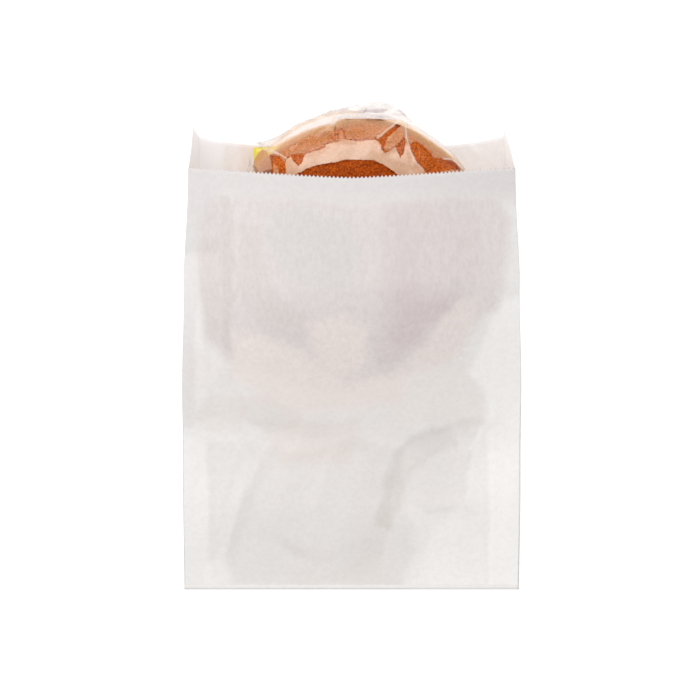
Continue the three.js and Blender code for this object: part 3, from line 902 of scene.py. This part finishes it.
def dents(x, y):
    """Height in millimetres that creases, crumples and fold marks add to the front panel at a point."""
    wander = Vector((x / 46, y / 46, 0.0))
    wx = x + 5 * noise.noise(wander + Vector((3.1, 0, 0)))
    wy = y + 5 * noise.noise(wander + Vector((0, 7.7, 0)))
    height = sum(crease(wx, wy, *line) for line in CREASES)
    crumple = (
        triangle_wave((wx * 0.82 + wy * 0.57) / 43 + 0.3)
        + 0.8 * triangle_wave((wx * 0.35 - wy * 0.94) / 37 + 0.1)
        + 0.7 * triangle_wave((wx * 0.97 - wy * 0.24) / 29)
    )
    slack = 0.34 * (1 - ease(84, 118, y)) + 0.07
    height += crumple * slack * ease(2, 26, y)
    height += 0.16 * max(0.0, 1 - abs(abs(x) - GUSSET_MARK) / 1.1)
    height -= 0.20 * max(0.0, 1 - abs(abs(x) - GUSSET_HOLLOW) / 2.2)
    height += 0.35 * noise.noise(Vector((x / 24, y / 60, 1.0))) * ease(176, 198, y)
    return height * ease(0.0, 8.0, y)


def lip_crease(x, y):
    """The small slanting crease near the right end of the back panel's lip."""
    return crease(x, y, 55, 222, 62, 214, 0.55, 2.6) * ease(200, 212, y)


def front_top(share):
    """Where the front panel is cut, with share from -1 at the left fold to 1 at the right."""
    return MOUTH_Y - MOUTH_DIP * (1 - abs(share) ** 1.45)


def back_top(share):
    return LIP_Y - LIP_DIP * (1 - abs(share) ** 3)


def gusset_top(across):
    return lerp(GUSSET_PEAK_Y, MOUTH_Y if across < 0 else LIP_Y, abs(across))


# --- Operators ------------------------------------------------------------------------------------
class BAG_OT_walls(bpy.types.Operator):
    """The bag itself: one tube of paper with both panels, its gussets and the toothed cut"""

    bl_idname = "bag.walls"
    bl_label = "Paper bag"

    def execute(self, context):
        settings = context.scene.bag
        shape = BagShape(settings)
        noise.seed_set(WANDER_SEED)
        panel, gusset, rows = 2 * settings.teeth, 2 * LEAF_COLUMNS, settings.rows
        back_start, back_end, around = panel + gusset, 2 * panel + gusset, 2 * panel + 2 * gusset
        mesh = grid(around, rows, 1.0)
        for face in mesh.faces:
            face.material_index = 0 if (face.calc_center_median().x + 1) / 2 * around < panel else 1
        colours = mesh.verts.layers.float_color.new("shade")
        for vertex in mesh.verts:
            column = round((vertex.co.x + 1) / 2 * around)
            t = (vertex.co.y + 1) / 2
            on_cut = t > 1 - 0.5 / rows
            tooth = TOOTH_HEIGHT * (0.5 if column % 2 else -0.5) * on_cut
            if column <= panel:
                share = 2 * column / panel - 1
                vertex.co = shape.front(share, t * front_top(share) + tooth)
            elif column < back_start:
                across = (column - panel) / LEAF_COLUMNS - 1
                vertex.co = shape.gusset_at(1, across, t * gusset_top(across))
            elif column <= back_end:
                share = 1 - 2 * (column - back_start) / panel
                vertex.co = shape.back(share, t * back_top(share) + tooth * 0.4)
            else:
                across = 1 - (column - back_end) / LEAF_COLUMNS
                vertex.co = shape.gusset_at(-1, across, t * gusset_top(across))
            if column <= panel or column == around:  # the last column is joined to the first
                vertex[colours] = painted(vertex.co, settings.white, FRONT_PAINTED_SHADE, SEEN_THROUGH_SHADOW_GRAIN)
            else:
                vertex[colours] = painted(vertex.co, settings.inside, INSIDE_PAINTED_SHADE, 0.0)
        bmesh.ops.remove_doubles(mesh, verts=mesh.verts, dist=1e-6)
        # The front and the inside paper carry painted shade and light; the inside also glows a little,
        # painted light in place of light through the sheet.
        paper = [shaded_paper("paper_front_painted_shade_and_light"), plain_paper(settings), shaded_paper("paper_inside_painted_shade_and_light", 0.12)]
        piece = finished("bag_walls", mesh, paper, "paper_bag")
        solidify(piece, settings.paper, use_even_offset=False, material_offset=1)
        return {"FINISHED"}


class BAG_OT_glued_paper(bpy.types.Operator):
    """The bottom turned over to the back, and the glued seam along the back"""

    bl_idname = "bag.glued_paper"
    bl_label = "Turned-over bottom and seam"

    def execute(self, context):
        settings = context.scene.bag
        paper = plain_paper(settings)
        top = settings.folded + 0.12 * MM
        # The turn's section, as (y, z), runs from the front round the bottom edge and along the underside.
        turn = [(2.4 * MM, top), (0.9 * MM, top + 0.02 * MM), (0.1 * MM, top * 0.72), (0.0, top * 0.4)]
        turn += [(0.35 * MM, 0.06 * MM), (3.0 * MM, UNDERSIDE), (settings.flap, UNDERSIDE)]
        mesh = grid(84, len(turn) - 1, 0.5)
        for vertex in mesh.verts:
            y, z = turn[round((vertex.co.y + 0.5) * (len(turn) - 1))]
            vertex.co = (vertex.co.x * settings.width, y + FOOT_Y, z)
        bmesh.ops.reverse_faces(mesh, faces=mesh.faces)
        solidify(finished("turned_bottom", mesh, [paper]), PASTED)

        mesh = grid(6, 90, 0.5)
        reach = LIP_Y - LIP_DIP - 1.2 * MM - settings.flap
        middle = (SEAM_X, settings.flap + reach / 2 + FOOT_Y + 0.4 * MM, UNDERSIDE)
        bmesh.ops.scale(mesh, vec=(settings.seam, reach, 1.0), verts=mesh.verts)
        bmesh.ops.translate(mesh, vec=middle, verts=mesh.verts)
        bmesh.ops.reverse_faces(mesh, faces=mesh.faces)
        solidify(finished("back_seam", mesh, [paper]), PASTED)
        return {"FINISHED"}


def roll_profile(inset, steps):
    """Half of the wrapped roll's section, as (distance from the axis, height), inset from the film."""
    radius = ROLL_R - inset
    bottom, top = ROLL_BOTTOM_Z + inset * 0.3, ROLL_TOP_Z - inset * 0.7
    points = [(HEEL_FLAT_R * i / 8, bottom) for i in range(8)]
    for i in range(steps // 2 + 1):
        turn = i / (steps // 2) * math.pi / 2
        out = lerp(HEEL_FLAT_R, radius, math.sin(turn) ** (2 / HEEL_POWER))
        points.append((out, lerp(ROLL_EQUATOR_Z, bottom, math.cos(turn) ** (2 / HEEL_POWER))))
    for i in range(1, steps * 2 + 1):
        turn = i / (steps * 2) * math.pi / 2
        out = radius * max(0.0, math.cos(turn)) ** (2 / CROWN_POWER) if i < steps * 2 else 0.0
        points.append((out, lerp(ROLL_EQUATOR_Z, top, math.sin(turn))))
    return points


def spun(points, steps):
    """A closed form of revolution about the roll's axis from a section that starts and ends on it."""
    mesh = bmesh.new()
    verts = [mesh.verts.new((r, 0.0, z)) for r, z in points]
    edges = [mesh.edges.new(pair) for pair in zip(verts, verts[1:])]
    whole = {"cent": (0, 0, 0), "axis": (0, 0, 1), "angle": math.tau, "use_merge": True}
    bmesh.ops.spin(mesh, geom=verts + edges, steps=steps, **whole)
    bmesh.ops.remove_doubles(mesh, verts=mesh.verts, dist=1e-6)
    bmesh.ops.recalc_face_normals(mesh, faces=mesh.faces)
    return mesh


def slack(angle, z):
    """How far the loose film stands out from the roll at its upper left, and at the cheese's corner."""
    start, end = SLACK_SPAN
    span = ease(start, start + 16, angle) * (1 - ease(end - 26, end, angle))
    level = bell(z, ROLL_EQUATOR_Z + 3 * MM, 12 * MM)
    corner = CORNER_OUT * bell(angle, CORNER_ANGLE, 7) * bell(z, 21 * MM, 6 * MM)
    return SLACK_FILM * span * level + corner


# Raised pleats of the film, as the photograph's pixels: the height there, both ends, their rise and reach.
PLEATS = (
    (38, (399, 120), (378, 139), 1.5, 3.2),
    (38, (378, 139), (384, 152), 1, 2.6),
    (40, (384, 152), (397, 148), 0.9, 2.4),
    (40, (403, 121), (406, 142), 1.4, 2.6),
    (42, (406, 142), (416, 164), 1.2, 2.8),
    (42, (416, 164), (430, 176), 1, 2.8),
    (30, (406, 126), (430, 142), 1.1, 3),
    (28, (430, 142), (462, 168), 0.9, 3),
    (26, (266, 151), (288, 159), 1, 2.6),
    (40, (334, 116), (338, 142), 1.2, 2),
    (40, (343, 118), (344, 141), 1, 2),
    (32, (283, 152), (331, 125), 0.7, 3),
    (40, (287, 160), (324, 147), 0.7, 2.6),
    (41, (324, 147), (344, 140), 0.7, 2.4),
    (41, (344, 140), (378, 139), 0.6, 2.4),
)


class BAG_OT_film(bpy.types.Operator):
    """The clear film round the roll, with its pleats, and its gathered end"""

    bl_idname = "bag.film"
    bl_label = "Clear film"

    def execute(self, context):
        pleats = []
        for height, start, end, rise, reach in PLEATS:
            a, b = seen_at(*start, height * MM), seen_at(*end, height * MM)
            pleats.append((*(v / MM for v in (*a, *b)), rise, reach))
        mesh = spun(roll_profile(0.0, 30), 252)
        mesh.normal_update()
        for vertex in mesh.verts:
            co = vertex.co
            angle = math.degrees(math.atan2(co.y, co.x))
            r = math.hypot(co.x, co.y)
            placed = co + ROLL_CENTRE
            x, y = placed.x / MM, placed.y / MM
            outside = ease(196 * MM, 203 * MM, placed.y - FOOT_Y)
            facets = triangle_wave((x * 0.7 + y * 0.71) / 17 + 0.2) + triangle_wave((x * 0.9 - y * 0.44) / 13)
            rough = noise.noise(Vector((x / 9, y / 9, co.z / MM / 9)))
            lift = (facets * 0.16 + rough * 0.4) * (0.25 + 0.75 * outside) - 0.35
            if co.z > ROLL_EQUATOR_Z - 4 * MM:
                lift += sum(crease(x, y, *line) for line in pleats) * lerp(0.1, 1.0, outside)
            out = slack(angle, co.z) * (r / ROLL_R) ** 4 / max(r, MM)
            vertex.co = placed + vertex.normal * (lift * MM) + Vector((co.x * out, co.y * out, 0.0))
        finished("film_wrap", mesh, [film_finish()], "wrapped_roll")
        self.gathered_end()
        return {"FINISHED"}

    def gathered_end(self):
        """A fan of loose film that runs out of the wrap, thin and softly folded."""
        mesh = grid(90, 36, 1.0)
        for vertex in mesh.verts:
            share, t = vertex.co.x, (vertex.co.y + 1) / 2
            span, loss = (1 - TAIL_PEAK, 8.6 * MM) if share > TAIL_PEAK else (1 + TAIL_PEAK, 4.4 * MM)
            reach = (TAIL_END_Y - TAIL_ROOT_Y) * (1 + 0.02 * math.sin(share * 11))
            reach -= loss * (abs(share - TAIL_PEAK) / span) ** 1.5
            fold = 0.9 * math.sin(share * 9 + 3 * t) + 0.8 * math.sin(share * 4 - 5 * t)
            fold += 1.1 * noise.noise(Vector((share * 5, t * 4, 2.0)))
            x = TAIL_X + share * TAIL_HALF_WIDTH * lerp(1.0, 0.97, t * t)
            y = TAIL_ROOT_Y + t * reach
            on_wrap = film_height(math.hypot(x - ROLL_X, y - ROLL_Y)) + (0.7 + 0.35 * fold) * MM
            vertex.co = Vector((x, y + FOOT_Y, max(on_wrap, TAIL_Z + (0.7 * fold - t) * MM)))
        solidify(finished("film_tail", mesh, [tail_finish()]), 0.12 * MM, 0.0)


class BAG_OT_bread(bpy.types.Operator):
    """The roll: a domed crown and a flat heel"""

    bl_idname = "bag.bread"
    bl_label = "Bread"

    def execute(self, context):
        settings = context.scene.roll
        widest = settings.radius
        outline = roll_profile(ROLL_R - widest, 26)
        cut_above = ((0.0, 1.5), (0.8, 1.0), (0.955, 0.8), (0.985, 2.0))
        cut_below = ((0.985, -3.0), (0.95, -1.4), (0.0, -1.2))
        crown = [(widest * out, SPLIT_Z + up * MM) for out, up in cut_above]
        crown += [p for p in outline if p[1] > SPLIT_Z + 3.6 * MM]
        heel = [p for p in outline if p[1] < ROLL_EQUATOR_Z]
        heel += [(widest * out, SPLIT_Z + up * MM) for out, up in cut_below]
        for name, section, finish, bumps in (
            ("roll_crown", crown, crust_finish(settings), 0.55),
            ("roll_heel", heel, heel_finish(settings), 0.5),
        ):
            mesh = spun(section, 200)
            mesh.normal_update()
            for vertex in mesh.verts:
                co = vertex.co
                lump = noise.noise(co * 42) * 1.6 + noise.noise(co * 150) * 0.5 + noise.noise(co * 420) * 0.28
                angle = math.degrees(math.atan2(co.y, co.x))
                lump += 2.6 * bell(angle, 143, 10) * ease(0.8, 1.0, math.hypot(co.x, co.y) / widest)
                vertex.co = co + ROLL_CENTRE + vertex.normal * (lump - 0.9) * bumps * MM
            finished(name, mesh, [finish])
        return {"FINISHED"}


class BAG_OT_cheese(bpy.types.Operator):
    """The square slice of cheese between the crown and the heel, with one corner looking out"""

    bl_idname = "bag.cheese"
    bl_label = "Cheese"

    def execute(self, context):
        settings = context.scene.roll
        mesh = grid(36, 36, settings.cheese / 2)
        outwards = math.radians(CORNER_ANGLE)
        turn = Matrix.Rotation(outwards - math.pi / 4, 3, "Z")
        bmesh.ops.rotate(mesh, verts=mesh.verts, matrix=turn)
        shift = Vector((math.cos(outwards), math.sin(outwards), 0.0)) * CHEESE_SHIFT
        for vertex in mesh.verts:
            co = vertex.co + shift
            beyond = max(0.0, math.hypot(co.x, co.y) - 58 * MM)
            droop = -0.12 * beyond + 0.25 * MM * noise.noise(co * 60)
            vertex.co = co + ROLL_CENTRE + Vector((0.0, 0.0, CHEESE_Z + droop))
        piece = finished("cheese_slice", mesh, [cheese_finish(settings)])
        solidify(piece, 1.5 * MM, 0.0)
        return {"FINISHED"}


class BAG_OT_stage(bpy.types.Operator):
    """The table, the lights and the camera that looks straight down"""

    bl_idname = "bag.stage"
    bl_label = "Stage"

    def execute(self, context):
        scene, settings = context.scene, context.scene.stage
        mesh = grid(2, 2, 15.0)
        bmesh.ops.translate(mesh, vec=(0, 0, -0.1 * MM), verts=mesh.verts)
        finish = Finish("pale_table")
        matt = {"Base Color": settings.floor, "Roughness": 0.9, "Specular IOR Level": 0.0}
        bright = {"Emission Color": (1.0, 1.0, 1.0, 1.0), "Emission Strength": 0.6}
        table = placed_object("table", mesh, [finish.done(finish.principled({**matt, **bright}))])

        world = bpy.data.worlds.new("soft_sky")
        world.use_nodes = True
        sky = world.node_tree.nodes["Background"].inputs
        sky["Color"].default_value = (1.0, 1.0, 1.0, 1.0)
        sky["Strength"].default_value = settings.sky
        world.cycles_visibility.glossy = False
        scene.world = world

        for name, place, size, power, lights_matt in (
            ("reflector_mouth", (-0.05, 1.0, 0.46), (1.5, 0.5), settings.reflector, False),
            ("softbox_mouth", (-0.6, 1.9, 1.9), (1.6, 1.6), settings.key, True),
            ("softbox_left", (-1.1, -0.2, 0.55), (0.8, 0.6), settings.side, True),
        ):
            lamp = bpy.data.lights.new(name, "AREA")
            lamp.shape = "RECTANGLE"
            lamp.size, lamp.size_y = size
            lamp.energy = power
            light = bpy.data.objects.new(name, lamp)
            light.visible_diffuse = lights_matt
            light.location = place
            aim = Vector((0, 0.05, 0.03)) - Vector(place)
            light.rotation_euler = aim.to_track_quat("-Z", "Y").to_euler()
            scene.collection.objects.link(light)

        lens = bpy.data.cameras.new("overhead")
        lens.lens = LENS
        lens.sensor_width = SENSOR
        camera = bpy.data.objects.new("overhead", lens)
        camera.location = (CAMERA_X, CAMERA_Y, CAMERA_HEIGHT)
        scene.collection.objects.link(camera)
        scene.camera = camera
        scene.view_settings.view_transform = "Standard"
        return {"FINISHED"}


class BAG_PT_panel(bpy.types.Panel):
    """Lists the pieces and their settings in the sidebar"""

    bl_idname = "BAG_PT_panel"
    bl_label = "Paper bag"
    bl_space_type = "VIEW_3D"
    bl_region_type = "UI"
    bl_category = "Paper bag"

    def draw(self, context):
        for settings, operators in (("bag", STEPS[:2]), ("roll", STEPS[2:5]), ("stage", STEPS[5:])):
            column = self.layout.box().column()
            group = getattr(context.scene, settings)
            for name in group.__annotations__:
                column.prop(group, name)
            for operator in operators:
                column.operator(operator.bl_idname)


STEPS = (BAG_OT_walls, BAG_OT_glued_paper, BAG_OT_film, BAG_OT_bread, BAG_OT_cheese, BAG_OT_stage)
GROUPS = {"bag": BagSettings, "roll": RollSettings, "stage": StageSettings}


def register():
    for group in GROUPS.values():
        bpy.utils.register_class(group)
    for name, group in GROUPS.items():
        setattr(bpy.types.Scene, name, PointerProperty(type=group))
    for step in STEPS:
        bpy.utils.register_class(step)
    bpy.utils.register_class(BAG_PT_panel)


def unregister():
    bpy.utils.unregister_class(BAG_PT_panel)
    for step in reversed(STEPS):
        bpy.utils.unregister_class(step)
    for name in GROUPS:
        delattr(bpy.types.Scene, name)
    for group in GROUPS.values():
        bpy.utils.unregister_class(group)


def main():
    register()
    for step in STEPS:
        area, name = step.bl_idname.split(".")
        getattr(getattr(bpy.ops, area), name)()


if __name__ == "__main__":
    main()
